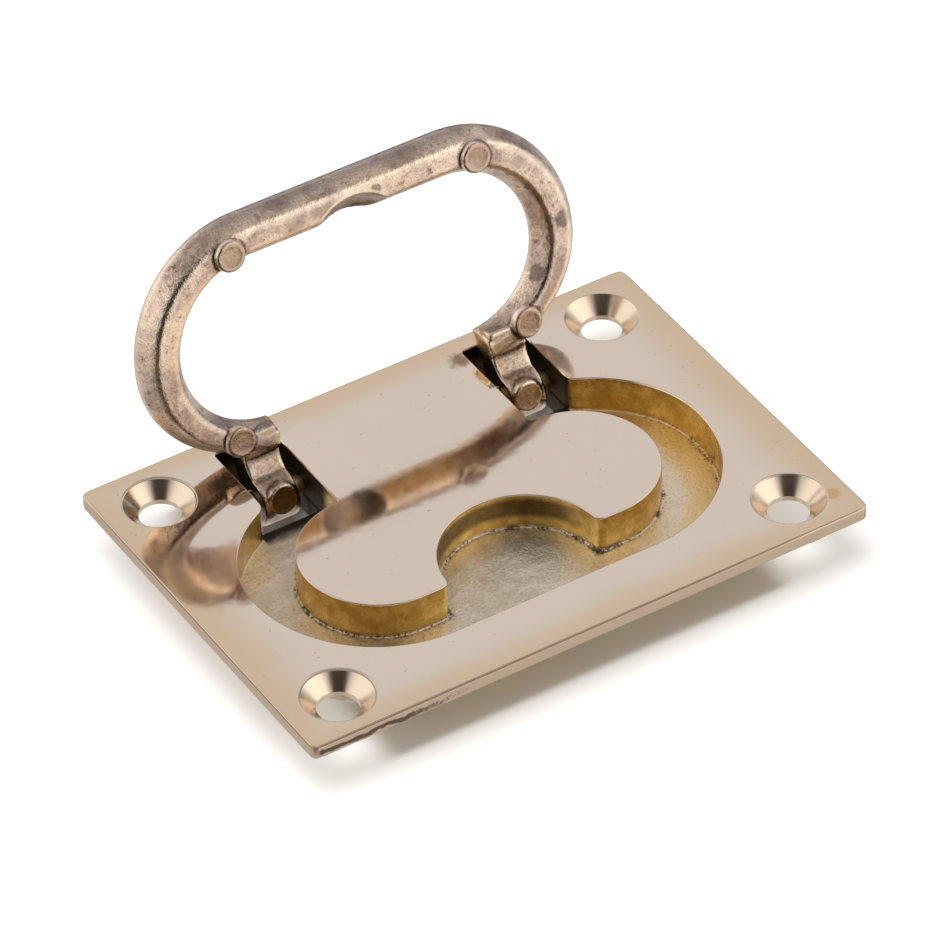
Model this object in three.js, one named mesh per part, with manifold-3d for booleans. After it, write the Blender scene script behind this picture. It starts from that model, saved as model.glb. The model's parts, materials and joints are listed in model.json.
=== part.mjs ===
// Flush pull: a cast brass face plate with a C-shaped recess, and a cast bail that folds into it.
//
// Millimetres. X runs along the plate, Y towards the hinged side, Z out of the surface that the plate
// is let into. The origin is on the underside of the recess pan, below the centre of the plate.
// The bail is drawn folded down in its recess, and then turned about the hinge to stand open.

import * as THREE from "three";
import { mergeVertices } from "three/addons/utils/BufferGeometryUtils.js";
import Module from "manifold-3d";

// ---- Driving dimensions -------------------------------------------------------------------------

// Face plate
const plateLength = 76;
const plateWidth = 53;
const plateThickness = 1.8;
const plateCornerRadius = 0.5;

// Screw holes, one near each corner
const screwEndInset = 7.1; // from the plate's end to the hole's middle
const screwSideInset = 6.4; // from the plate's long side to the hole's middle
const screwHoleRadius = 2.55;
const countersinkRadius = 4.5;
const countersinkDepth = 1.9;
const screwBossRadius = 5.8; // the plate is thicker round each hole, on its underside
const screwBossHeight = 0.75;

// Recess pan
const recessDepth = 5;
const floorThickness = 2.3;
const wallThickness = 1.8;
const grooveEndMargin = 7.3; // plate left outside the groove at each end
const grooveFrontMargin = 8.2; // plate left in front of the groove
const grooveWidth = 7.1;
const grooveBackWidth = 5.5; // the groove narrows towards its two back ends
const grooveFlattening = 1.7; // the back quarters of the groove are this much flatter than the front ones
const pocketRadius = 10.2; // round finger pocket, bitten out of the front of the tongue
const pocketBackDepth = 10.3; // from the tongue's front edge to the back of the pocket

// Lug slots and hinge
const slotWidth = 7.9;
const slotInset = 0.4; // the slot starts this far inside the middle of the groove's end curve
const slotAheadOfHinge = 4.3; // the part of the slot that goes right through the floor
const slotBehindHinge = 6.3;
const slotBackMargin = 2.6; // plate left behind the slot
const grooveToHinge = 3.6; // from the back of the groove to the hinge
const hingeDrop = 3.8; // from the top of the plate down to the hinge
const earThickness = 2.2;
const stopWebThickness = 1.6; // web behind each lug, where the open bail comes to rest
const stopGap = 0.35;

// Hinge pins
const pinRadius = 1.25;
const pinEarClearance = 0.06;
const pinLugClearance = 0.1;

// Bail
const bailThickness = 3.65; // without its round marks
const bailTopDrop = 0.35; // the folded bail lies this far below the top of the plate
const bailOuterClearance = 0.75; // between the bail and the groove's outer wall
const bailInnerClearance = 0.45;
const bailBackClearance = 1.2; // at the two back ends, which need room to swing up past the groove's wall
const bailFlatHalfWidth = 1.3; // flat underside of the bar
const bailFootDepth = 3.2; // the sides slope in from near the top down to this depth, then round off
const bailFootHalfWidth = 1.8;
const bailTopChamfer = 0.35;
const bailDraft = 0.1; // the steep upper sides lean in by this much
const bailDraftDepth = 1.1;
const bailEndInset = 0.9; // the bail's ends stop this far outside the middle of the end curve
const bailEndToGroove = 2.1; // from the back of the bail's end block to the back of the groove
const markRadius = 1.9; // round ejector marks on the underside
const markHeight = 0.65;
const markInset = 0.45; // the marks sit this far inside the middle of the bar
const frontMarkAngle = -76.2; // degrees round the end curve
const backMarkAngle = 62.5;
const scoopRadius = 7.9; // fingertip scoop in the middle of the front bar
const scoopDepth = 1.45;
const lugSideClearance = 1.575; // between a lug and each side of its slot
const eyeRadius = 3.1;
const neckStep = 0.4; // the neck's underside is stepped up from the end block by this much
const neckLength = 2.2; // from the end block to the valley in front of the eye
const valleyAngle = 193; // degrees round the eye, where the valley runs into it
const lugMarkProud = 0.1;
const lugMarkOffset = 0.5; // the lug's mark sits a little ahead of the hinge
const openAngle = 106.2; // degrees from folded to standing open

// ---- Worked-out places --------------------------------------------------------------------------

const topZ = floorThickness + recessDepth;
const seatZ = topZ - plateThickness;
const halfLength = plateLength / 2;
const halfWidth = plateWidth / 2;

// The groove's outer wall: a circle in front and a flatter quarter behind, which together fill the
// plate's width between the front margin and the hinge.
const hingeToPlateBack = slotBehindHinge + slotBackMargin;
const grooveSpan = plateWidth - grooveFrontMargin - hingeToPlateBack - grooveToHinge;
const outerRadius = (grooveSpan + grooveFlattening) / 2;
const outerRise = outerRadius - grooveFlattening;
const innerRadius = outerRadius - grooveWidth;
const innerRise = outerRise - grooveBackWidth;
const curveX = halfLength - grooveEndMargin - outerRadius;
const curveY = -halfWidth + grooveFrontMargin + outerRadius;
const pocketY = curveY - innerRadius + pocketBackDepth - pocketRadius;

const hingeY = curveY + outerRise + grooveToHinge;
const hingeZ = topZ - hingeDrop;
const slotInnerX = curveX - slotInset;
const slotOuterX = slotInnerX + slotWidth;
const slotFrontY = hingeY - slotAheadOfHinge;
const slotBackY = hingeY + slotBehindHinge;
const lugInnerX = slotInnerX + lugSideClearance;
const lugOuterX = slotOuterX - lugSideClearance;
const bailOuterRadius = outerRadius - bailOuterClearance;
const bailInnerRadius = innerRadius + bailInnerClearance;
const bailOuterRise = outerRise - bailBackClearance;
const bailInnerRise = innerRise + bailInnerClearance;
const bailRadius = (bailOuterRadius + bailInnerRadius) / 2;
const bailRise = (bailOuterRise + bailInnerRise) / 2;
const bailHalfWidth = (bailOuterRadius - bailInnerRadius) / 2;
const bailTopZ = topZ - bailTopDrop;
const bailUndersideZ = bailTopZ - bailThickness;
const bailEndBackY = curveY + outerRise - bailEndToGroove;

const curveSegments = 7; // an outline has twice as many in each quarter of an oval
const roundSegments = 32;
const coneSegments = 40;
const barSteps = 84; // along the bar of the bail
const overlap = 1; // how far cutters run past what they cut

// ---- Solids -------------------------------------------------------------------------------------

const wasm = await Module();
wasm.setup();

// A closed three.js geometry as a solid that can be joined and cut.
function toSolid(geometry) {
  const bare = geometry.clone();
  bare.deleteAttribute("normal");
  bare.deleteAttribute("uv");
  const merged = mergeVertices(bare, 1e-4);
  return new wasm.Manifold(
    new wasm.Mesh({
      numProp: 3,
      vertProperties: new Float32Array(merged.attributes.position.array),
      triVerts: new Uint32Array(merged.index.array),
    }),
  );
}

// A solid back as a geometry for a mesh.
function toGeometry(solid) {
  const mesh = solid.getMesh();
  const geometry = new THREE.BufferGeometry();
  geometry.setAttribute("position", new THREE.BufferAttribute(mesh.vertProperties, 3));
  geometry.setIndex(new THREE.BufferAttribute(mesh.triVerts, 1));
  geometry.computeVertexNormals();
  return geometry;
}

// A plan outline, made solid from one height to another.
function upright(shape, fromZ, toZ) {
  const geometry = new THREE.ExtrudeGeometry(shape, {
    depth: toZ - fromZ,
    bevelEnabled: false,
    curveSegments,
  });
  geometry.translate(0, 0, fromZ);
  return toSolid(geometry);
}

// A side outline, drawn in Y and Z, made solid from one X to another.
function sideways(shape, fromX, toX) {
  const geometry = new THREE.ExtrudeGeometry(shape, {
    depth: toX - fromX,
    bevelEnabled: false,
    curveSegments,
  });
  const turned = new THREE.Matrix4().makeBasis(
    new THREE.Vector3(0, 1, 0),
    new THREE.Vector3(0, 0, 1),
    new THREE.Vector3(1, 0, 0),
  );
  geometry.applyMatrix4(turned);
  geometry.translate(fromX, 0, 0);
  return toSolid(geometry);
}

function block(fromX, toX, fromY, toY, fromZ, toZ) {
  const geometry = new THREE.BoxGeometry(toX - fromX, toY - fromY, toZ - fromZ);
  geometry.translate((fromX + toX) / 2, (fromY + toY) / 2, (fromZ + toZ) / 2);
  return toSolid(geometry);
}

// An upright round bar.
function post(radius, x, y, fromZ, toZ) {
  const geometry = new THREE.CylinderGeometry(radius, radius, toZ - fromZ, roundSegments);
  geometry.rotateX(Math.PI / 2);
  geometry.translate(x, y, (fromZ + toZ) / 2);
  return toSolid(geometry);
}

// A round bar along the hinge.
function hingeBar(radius, fromX, toX) {
  const geometry = new THREE.CylinderGeometry(radius, radius, toX - fromX, roundSegments);
  geometry.rotateZ(Math.PI / 2);
  geometry.translate((fromX + toX) / 2, hingeY, hingeZ);
  return toSolid(geometry);
}

// The right-hand form and its mirror image.
function bothSides(solid) {
  return solid.add(solid.mirror([1, 0, 0]));
}

// ---- Outlines -----------------------------------------------------------------------------------

// A closed oval: circular quarters in front, flatter quarters behind, grown by `grow` all round.
function ovalOutline(radius, rise, grow) {
  const across = radius + grow;
  const back = rise + grow;
  const shape = new THREE.Shape();
  shape.moveTo(-curveX, curveY - across);
  shape.lineTo(curveX, curveY - across);
  shape.absellipse(curveX, curveY, across, across, -Math.PI / 2, 0, false);
  shape.absellipse(curveX, curveY, across, back, 0, Math.PI / 2, false);
  shape.lineTo(-curveX, curveY + back);
  shape.absellipse(-curveX, curveY, across, back, Math.PI / 2, Math.PI, false);
  shape.absellipse(-curveX, curveY, across, across, Math.PI, Math.PI * 1.5, false);
  return shape;
}

function plateOutline() {
  const r = plateCornerRadius;
  const shape = new THREE.Shape();
  shape.moveTo(-halfLength + r, -halfWidth);
  shape.absarc(halfLength - r, -halfWidth + r, r, -Math.PI / 2, 0, false);
  shape.absarc(halfLength - r, halfWidth - r, r, 0, Math.PI / 2, false);
  shape.absarc(-halfLength + r, halfWidth - r, r, Math.PI / 2, Math.PI, false);
  shape.absarc(-halfLength + r, -halfWidth + r, r, Math.PI, Math.PI * 1.5, false);
  return shape;
}

// ---- Face plate ---------------------------------------------------------------------------------

// The recess between two heights: the oval less the tongue. With a positive `grow` it is the outside of
// the pan that holds the recess.
function recess(grow, fromZ, toZ) {
  const outer = upright(ovalOutline(outerRadius, outerRise, grow), fromZ, toZ);
  return outer.subtract(tongue(-grow, fromZ - overlap, toZ + overlap));
}

// The tongue that the groove runs round. It is joined to the plate's back between the two slots.
// A negative `grow` makes it smaller, and the finger pocket in its front larger.
function tongue(grow, fromZ, toZ) {
  const oval = upright(ovalOutline(innerRadius, innerRise, grow), fromZ, toZ);
  const joinX = slotInnerX + grow;
  const join = block(-joinX, joinX, curveY, halfWidth, fromZ, toZ);
  const pocket = post(pocketRadius - grow, 0, pocketY, fromZ - overlap, toZ + overlap);
  return oval.add(join).subtract(pocket);
}

// The two slots, from the back of the groove to behind the hinge, between two heights.
function slots(fromY, toY, fromZ, toZ) {
  return bothSides(block(slotInnerX, slotOuterX, fromY, toY, fromZ, toZ));
}

// One screw hole's cutter: a hole, a cone that opens at the plate's top, and room above it.
function screwCutter() {
  const lowZ = seatZ - screwBossHeight - overlap;
  const profile = [
    new THREE.Vector2(0, lowZ),
    new THREE.Vector2(screwHoleRadius, lowZ),
    new THREE.Vector2(screwHoleRadius, topZ - countersinkDepth),
    new THREE.Vector2(countersinkRadius, topZ),
    new THREE.Vector2(countersinkRadius, topZ + overlap),
    new THREE.Vector2(0, topZ + overlap),
  ];
  const geometry = new THREE.LatheGeometry(profile, coneSegments);
  geometry.rotateX(Math.PI / 2);
  return toSolid(geometry);
}

// One solid for each of the four screw holes.
function atScrewHoles(solid) {
  const x = halfLength - screwEndInset;
  const y = halfWidth - screwSideInset;
  const corners = [
    [x, y],
    [-x, y],
    [-x, -y],
    [x, -y],
  ];
  return wasm.Manifold.union(corners.map(([cx, cy]) => solid.translate([cx, cy, 0])));
}

// Ears on both sides of each slot, under the plate, with a web behind that stops the open bail.
function hingeHousings() {
  const innerX = slotInnerX - earThickness;
  const outerX = slotOuterX + earThickness;
  const webFrontY = stopWebFrontY();
  const backY = webFrontY + stopWebThickness;
  const whole = block(innerX, outerX, slotFrontY - wallThickness, backY, 0, seatZ + overlap / 2);
  const room = block(slotInnerX, slotOuterX, slotFrontY, webFrontY, -overlap, topZ);
  return bothSides(whole.subtract(room));
}

// The back of the open bail's neck, where it is level with the plate's underside, plus the gap.
function stopWebFrontY() {
  const lean = THREE.MathUtils.degToRad(openAngle - 90);
  const behindHinge = bailTopZ - hingeZ;
  const riseAlong = (seatZ - hingeZ + behindHinge * Math.sin(lean)) / Math.cos(lean);
  return hingeY + riseAlong * Math.sin(lean) + behindHinge * Math.cos(lean) + stopGap;
}

function facePlate() {
  const slotStartY = curveY + innerRise - overlap;
  const grooveFloorEndY = slotFrontY + overlap / 2;
  const pan = recess(wallThickness, 0, seatZ + overlap / 2);
  const plate = upright(plateOutline(), seatZ, topZ);
  const pinBore = hingeBar(pinRadius + pinEarClearance, slotInnerX - earThickness - overlap, halfLength);
  return plate
    .add(pan)
    .add(hingeHousings())
    .add(atScrewHoles(post(screwBossRadius, 0, 0, seatZ - screwBossHeight, seatZ + overlap / 2)))
    .subtract(recess(0, floorThickness, topZ + overlap))
    .subtract(slots(slotStartY, grooveFloorEndY, floorThickness, topZ + overlap))
    .subtract(slots(slotFrontY, stopWebFrontY(), -overlap, topZ + overlap))
    .subtract(slots(slotFrontY, slotBackY, seatZ, topZ + overlap))
    .subtract(bothSides(pinBore))
    .subtract(atScrewHoles(screwCutter()));
}

// ---- Bail ---------------------------------------------------------------------------------------

// The middle line of the bail's bar, from the left end round the front to the right end.
class BailPath extends THREE.Curve {
  constructor() {
    super();
    const endAngle = Math.acos(bailEndInset / bailRadius);
    this.plan = new THREE.Path();
    this.plan.absellipse(-curveX, curveY, bailRadius, bailRise, Math.PI - endAngle, Math.PI, false);
    this.plan.absellipse(-curveX, curveY, bailRadius, bailRadius, Math.PI, Math.PI * 1.5, false);
    this.plan.lineTo(curveX, curveY - bailRadius);
    this.plan.absellipse(curveX, curveY, bailRadius, bailRadius, -Math.PI / 2, 0, false);
    this.plan.absellipse(curveX, curveY, bailRadius, bailRise, 0, endAngle, false);
  }

  getPoint(t, target = new THREE.Vector3()) {
    const p = this.plan.getPoint(t);
    return target.set(p.x, p.y, bailTopZ);
  }
}

// The bar's section: x is the depth below the top of the bar, y is towards the inside of the bail.
function bailSection() {
  const half = [
    [0, bailHalfWidth - bailTopChamfer],
    [bailTopChamfer, bailHalfWidth],
    [bailDraftDepth, bailHalfWidth - bailDraft],
    [bailFootDepth, bailFootHalfWidth],
    [bailThickness, bailFlatHalfWidth],
  ];
  const mirrored = half.map(([x, y]) => [x, -y]).reverse();
  return new THREE.Shape([...half, ...mirrored].map(([x, y]) => new THREE.Vector2(x, y)));
}

// The bar swept along its middle line, trimmed to the groove less its clearance.
function bailBar() {
  const swept = new THREE.ExtrudeGeometry(bailSection(), {
    steps: barSteps,
    extrudePath: new BailPath(),
  });
  const highZ = topZ + overlap;
  const outer = upright(ovalOutline(bailOuterRadius, bailOuterRise, 0), 0, highZ);
  const inner = upright(ovalOutline(bailInnerRadius, bailInnerRise, 0), -overlap, highZ + overlap);
  const behindEnds = block(-slotOuterX, slotOuterX, bailEndBackY, halfWidth, -overlap, highZ + overlap);
  return toSolid(swept).intersect(outer).subtract(inner).subtract(behindEnds);
}

// A lug seen from its side, folded down: the end block, an S-shaped neck and the round eye.
function lugOutline() {
  const rootY = curveY + bailRise - overlap;
  const stepZ = bailUndersideZ + neckStep;
  const bulgeY = bailEndBackY + neckLength / 2;
  const eyeStart = THREE.MathUtils.degToRad(valleyAngle);
  const shape = new THREE.Shape();
  shape.moveTo(rootY, bailUndersideZ + neckStep / 2);
  shape.lineTo(bailEndBackY, bailUndersideZ + neckStep / 2);
  shape.lineTo(bailEndBackY + neckStep / 2, stepZ);
  shape.quadraticCurveTo(bulgeY, stepZ, bailEndBackY + neckLength, bailUndersideZ - neckStep / 2);
  shape.lineTo(hingeY + eyeRadius * Math.cos(eyeStart), hingeZ + eyeRadius * Math.sin(eyeStart));
  shape.absarc(hingeY, hingeZ, eyeRadius, eyeStart, Math.PI * 2.5, false);
  shape.lineTo(bulgeY + neckStep, bailTopZ);
  shape.lineTo(rootY, bailTopZ);
  return shape;
}

// A place on the bar's middle line, moved inwards, at an angle round the end curve.
function markPlace(degrees) {
  const angle = THREE.MathUtils.degToRad(degrees);
  const across = bailRadius - markInset;
  const along = (degrees > 0 ? bailRise : bailRadius) - markInset;
  return [curveX + across * Math.cos(angle), curveY + along * Math.sin(angle)];
}

// The round marks that the mould's ejectors leave on the underside.
function marks() {
  const lowZ = bailUndersideZ - markHeight;
  const highZ = bailUndersideZ + overlap;
  const onBar = [frontMarkAngle, backMarkAngle].map((degrees) => {
    const [x, y] = markPlace(degrees);
    return post(markRadius, x, y, lowZ, highZ);
  });
  const lugMiddleX = (lugInnerX + lugOuterX) / 2;
  const lugMarkY = hingeY - lugMarkOffset;
  const lugMarkZ = hingeZ - eyeRadius - lugMarkProud;
  const onLug = post(markRadius, lugMiddleX, lugMarkY, lugMarkZ, hingeZ - pinRadius - overlap / 2);
  return bothSides(wasm.Manifold.union([...onBar, onLug]));
}

// The fingertip scoop: a ball that bites the inner lower edge of the front bar.
function scoop() {
  const fromEdge = (scoopRadius - scoopDepth) * Math.SQRT1_2;
  const edgeY = curveY - bailRadius + bailFlatHalfWidth;
  const geometry = new THREE.SphereGeometry(scoopRadius, coneSegments, roundSegments);
  geometry.translate(0, edgeY + fromEdge, bailUndersideZ - fromEdge);
  return toSolid(geometry);
}

function bail() {
  const lugs = bothSides(sideways(lugOutline(), lugInnerX, lugOuterX));
  const bores = bothSides(
    hingeBar(pinRadius + pinLugClearance, lugInnerX - overlap, lugOuterX + overlap),
  );
  return bailBar().add(lugs).add(marks()).subtract(scoop()).subtract(bores);
}

// ---- Hinge pins ---------------------------------------------------------------------------------

function hingePin() {
  return hingeBar(pinRadius, slotInnerX - earThickness, slotOuterX + earThickness);
}

// ---- Assembly -----------------------------------------------------------------------------------

const polishedBrass = new THREE.MeshStandardMaterial({ color: 0xd8c08c, metalness: 1, roughness: 0.12 });
const dullBrass = new THREE.MeshStandardMaterial({ color: 0xa8947a, metalness: 1, roughness: 0.42 });
const pinBrass = new THREE.MeshStandardMaterial({ color: 0xb89a5a, metalness: 1, roughness: 0.35 });

function named(name, solid, material) {
  const mesh = new THREE.Mesh(toGeometry(solid), material);
  mesh.name = name;
  return mesh;
}

// Turns what is inside it about the hinge, from folded to open.
function openedAboutHinge(mesh) {
  const back = new THREE.Group();
  back.position.set(0, -hingeY, -hingeZ);
  back.add(mesh);
  const turned = new THREE.Group();
  turned.rotation.x = -THREE.MathUtils.degToRad(openAngle);
  turned.position.set(0, hingeY, hingeZ);
  turned.add(back);
  return turned;
}

const flushPull = new THREE.Group();
const rightPin = hingePin();
flushPull.add(named("face_plate", facePlate(), polishedBrass));
flushPull.add(openedAboutHinge(named("bail", bail(), dullBrass)));
flushPull.add(named("hinge_pin_left", rightPin.mirror([1, 0, 0]), pinBrass));
flushPull.add(named("hinge_pin_right", rightPin, pinBrass));

export default flushPull;
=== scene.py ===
# %% [markdown]
# # A flush pull in cast brass
#
# A flush pull is let into a lid or a hatch. Its face plate has a C-shaped recess, and a cast bail (the ring
# that fingers lift) folds down into it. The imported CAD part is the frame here: it fixes every size and the
# hinge. The visible surfaces are made again, finer, on the same sizes, and ride on the same bodies.

import json

import bpy
import numpy as np
from mathutils import Matrix, Vector


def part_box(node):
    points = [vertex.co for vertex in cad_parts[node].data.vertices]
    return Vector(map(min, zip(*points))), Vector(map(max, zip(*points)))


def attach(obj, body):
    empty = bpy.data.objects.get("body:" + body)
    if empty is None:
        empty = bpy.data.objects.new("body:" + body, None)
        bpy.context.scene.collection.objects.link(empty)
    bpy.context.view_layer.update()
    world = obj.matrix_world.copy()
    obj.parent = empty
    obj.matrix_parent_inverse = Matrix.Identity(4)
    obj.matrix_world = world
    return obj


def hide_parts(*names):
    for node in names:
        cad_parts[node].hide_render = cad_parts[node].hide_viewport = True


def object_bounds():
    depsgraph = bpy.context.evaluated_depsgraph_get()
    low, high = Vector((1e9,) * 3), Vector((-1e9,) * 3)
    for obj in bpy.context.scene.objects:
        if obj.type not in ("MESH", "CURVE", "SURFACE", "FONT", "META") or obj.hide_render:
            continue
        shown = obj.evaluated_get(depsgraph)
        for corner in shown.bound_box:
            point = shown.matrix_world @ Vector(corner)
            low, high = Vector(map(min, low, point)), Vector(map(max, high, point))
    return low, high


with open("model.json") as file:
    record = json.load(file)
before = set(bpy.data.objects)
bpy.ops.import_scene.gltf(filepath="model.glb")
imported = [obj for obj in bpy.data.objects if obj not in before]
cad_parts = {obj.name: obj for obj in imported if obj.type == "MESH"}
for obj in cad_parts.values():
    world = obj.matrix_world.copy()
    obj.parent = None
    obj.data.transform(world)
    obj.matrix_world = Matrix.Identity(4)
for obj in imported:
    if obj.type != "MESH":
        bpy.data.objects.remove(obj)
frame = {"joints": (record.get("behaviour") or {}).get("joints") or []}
cad_box = [list(corner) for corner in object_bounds()]
print("CAD box, mm:", np.round(np.array(cad_box) * 1000, 2).tolist())

# %% [markdown]
# ## The sizes that both makers share
#
# The CAD source works in millimetres from a few driving sizes. The finer surfaces use the same ones, so
# they are repeated here, and the plate's length and width are read from the frame.

# %% Sizes in millimetres
MM = 0.001
plate_low, plate_high = (np.array(corner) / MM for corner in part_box("face_plate"))
half_length, half_width, top_z = plate_high
seat_z = 5.5  # underside of the plate
floor_z = 2.3  # floor of the recess
curve_x, curve_y = 13.7, -1.3  # middle of the groove's end curve
outer_radius, outer_rise = 17.0, 15.3  # groove's outer wall: in front, and towards the hinge
inner_radius, inner_rise = 9.9, 9.8
pocket_radius, pocket_y = 10.2, -11.1
slot_inner, slot_outer = 13.3, 21.2
slot_front, slot_back = 13.3, 23.9
web_front, web_back = 22.12, 24.1  # the web fills the slot's back end, up to the wall behind it
ear, wall = 2.2, 1.8
hinge_y, hinge_z = 17.6, 3.5
hole_x, hole_y = half_length - 7.1, half_width - 6.4
hole_radius, sink_radius, sink_depth = 2.55, 4.5, 1.9
pin_radius, bore_radius, eye_radius = 1.25, 1.31, 1.45
print("plate", np.round(plate_high - plate_low, 2), "mm, holes at", hole_x, hole_y)

# %% [markdown]
# ## Where the camera stands
#
# The camera looks down at about 41 degrees from the front left, from far away with a long lens, so the
# plate's long sides stay nearly parallel. Three angles turn it: round the part, up from the table, and a
# slight roll about its own line of sight.

# %% Camera
azimuth, elevation, roll = np.radians([-31.28, 40.57, -1.463])
flat = np.cos(elevation)
back = np.array([np.sin(azimuth) * flat, -np.cos(azimuth) * flat, np.sin(elevation)])
level = np.array([np.cos(azimuth), np.sin(azimuth), 0.0])
right = level * np.cos(roll) + np.cross(back, level) * np.sin(roll)
up = np.cross(back, right)
aim = np.array([1.2, 1.5, 9.5]) * MM
camera_distance = 0.835  # metres from the aim

camera = bpy.data.objects.new("camera", bpy.data.cameras.new("camera"))
camera.data.lens = 270.3
camera.data.sensor_width = 36
camera.data.clip_start = 0.01
place = Matrix(np.array([right, up, back]).T.tolist()).to_4x4()
place.translation = Vector(aim + back * camera_distance)
camera.matrix_world = place
bpy.context.scene.collection.objects.link(camera)
bpy.context.scene.camera = camera
print("camera at", np.round(place.translation, 3))

# %% [markdown]
# ## Shader maths as sums
#
# A finish is a small sum of patterns. One class wraps a socket so that such a sum reads as Python, and one
# method makes every other node.

# %% The finish kit
class Wire:
    """A value that runs between nodes; arithmetic on it adds Math nodes."""

    def __init__(self, finish, socket):
        self.finish, self.socket = finish, socket

    def maths(self, operation, first, second):
        return self.finish.node("ShaderNodeMath", {"operation": operation}, {0: first, 1: second})

    def __add__(self, other):
        return self.maths("ADD", self, other)

    def __sub__(self, other):
        return self.maths("SUBTRACT", self, other)

    def __rsub__(self, other):
        return self.maths("SUBTRACT", other, self)

    def __mul__(self, other):
        return self.maths("MULTIPLY", self, other)

    __radd__ = __add__
    __rmul__ = __mul__

    def out(self, name):
        return Wire(self.finish, self.socket.node.outputs[name])


class Finish:
    """A node tree that is written from left to right; node() is the only way in."""

    def __init__(self, tree):
        self.tree = tree
        self.tree.nodes.clear()

    def node(self, kind, settings=None, inputs=None, output=0):
        made = self.tree.nodes.new(kind)
        for name, value in (settings or {}).items():
            setattr(made, name, value)
        for name, value in (inputs or {}).items():
            if isinstance(value, Wire):
                self.tree.links.new(value.socket, made.inputs[name])
            else:
                made.inputs[name].default_value = value
        return Wire(self, made.outputs[output]) if made.outputs else made

    def step(self, value, low, high):
        """0 below low, 1 above high, and smooth between; low may be the larger, which turns it over."""
        span = {0: value, 1: low, 2: high, 3: 0.0, 4: 1.0}
        if low > high:
            span = {0: value, 1: high, 2: low, 3: 1.0, 4: 0.0}
        return self.node("ShaderNodeMapRange", {"interpolation_type": "SMOOTHSTEP"}, span)

    def past(self, value, low, high):
        """The same step on a length, with its two places in millimetres."""
        return self.step(value, low * MM, high * MM)

    def larger(self, first, second):
        return self.node("ShaderNodeMath", {"operation": "MAXIMUM"}, {0: first, 1: second})

    def magnitude(self, value):
        return self.node("ShaderNodeMath", {"operation": "ABSOLUTE"}, {0: value})

    def distance(self, where, spot):
        """How far `where` is from a fixed spot, whose three places are in millimetres."""
        ends = {0: where, 1: Vector(spot) * MM}
        return self.node("ShaderNodeVectorMath", {"operation": "DISTANCE"}, ends, "Value")

    def length(self, across, along):
        """The length of a flat step: the root of across squared plus along squared."""
        step = self.node("ShaderNodeCombineXYZ", {}, {0: across, 1: along})
        return self.node("ShaderNodeVectorMath", {"operation": "LENGTH"}, {0: step}, "Value")

    def mix(self, amount, first, second):
        """first where amount is 0, second where it is 1; both are colours."""
        settings = {"data_type": "RGBA", "clamp_factor": True}
        return self.node("ShaderNodeMix", settings, {0: amount, 6: first, 7: second}, 2)

    def noise(self, where, scale, detail=3.0, roughness=0.55, distortion=0.0):
        """A cloudy pattern from 0 to 1, with `scale` lumps a metre."""
        values = {"Vector": where, "Scale": scale, "Detail": detail, "Roughness": roughness}
        return self.node("ShaderNodeTexNoise", {}, {**values, "Distortion": distortion}, "Fac")


def rgb(red, green, blue):
    return (red, green, blue, 1.0)


def ragged(value, pattern, width):
    """A length made uneven: a pattern moves it to and fro within this many millimetres."""
    return value + (pattern - 0.5) * (width * MM)


# %% [markdown]
# ## The room and the table
#
# Polished brass shows its surroundings more than itself, so most of its look is the room round it. A room
# could be built of walls and lamps. Here it is painted in the world's shader instead: each bright or dark
# part of it is a range of bearings and heights, and is easily moved until the plate mirrors the right tone.
# The darkest part is behind the camera, and it draws the dark bar in each countersink. The two lamps light
# only the table, and the brass doesn't see them.

# %% The room
world = bpy.data.worlds.new("room")
bpy.context.scene.world = world
world.use_nodes = True
room = Finish(world.node_tree)
toward = room.node("ShaderNodeTexCoord", output="Generated")
split = room.node("ShaderNodeSeparateXYZ", {}, {0: toward}, "X")
height = split.out("Z")
bearing = room.node("ShaderNodeMath", {"operation": "ARCTAN2"}, {0: split, 1: 0.0 - split.out("Y")})


def sector(middle, half, blur, low, high):
    """1 inside a range of bearings and heights of the room, fading to 0 outside it; angles in degrees."""
    off = room.magnitude(bearing - float(np.radians(middle)))
    beside = room.step(off, float(np.radians(half + blur)), float(np.radians(half)))
    bottom, top = np.sin(np.radians([low, high]))
    from_below = room.step(height, bottom - 0.12, bottom + 0.04)
    return beside * from_below * room.step(height, top + 0.06, top - 0.1)


wall_paint, ceiling_paint = rgb(0.80, 0.80, 0.83), rgb(0.42, 0.40, 0.40)
overhead_paint, table_paint = rgb(0.85, 0.84, 0.84), rgb(0.70, 0.68, 0.66)
walls = room.mix(room.step(height, 0.70, 0.88), wall_paint, ceiling_paint)
walls = room.mix(room.step(height, 0.955, 0.985), walls, overhead_paint)
walls = room.mix(room.step(height, 0.02, -0.06), walls, table_paint)
# In degrees: the middle bearing, half the width, the blur, the lowest and the highest edge; then the
# paint. Bearing 0 is straight in front of the part, and 90 is to its right.
for *place_in_room, paint in (
    (38, 26, 14, -32, 8, rgb(1.15, 1.12, 1.1)),
    (48, 26, 16, 18, 52, rgb(1.5, 1.46, 1.4)),
    (-120, 30, 16, 12, 46, rgb(1.25, 1.22, 1.2)),
    (156, 50, 20, -8, 20, rgb(0.20, 0.19, 0.25)),
    (-40, 26, 16, -36, 4, rgb(0.17, 0.13, 0.10)),
    (-36, 28, 14, 0, 66, rgb(0.04, 0.03, 0.025)),
):
    walls = room.mix(sector(*place_in_room), walls, paint)
light = room.node("ShaderNodeBackground", {}, {"Color": walls, "Strength": 1.0})
room.node("ShaderNodeOutputWorld", {}, {"Surface": light})
print("room:", len(world.node_tree.nodes), "nodes")


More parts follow.
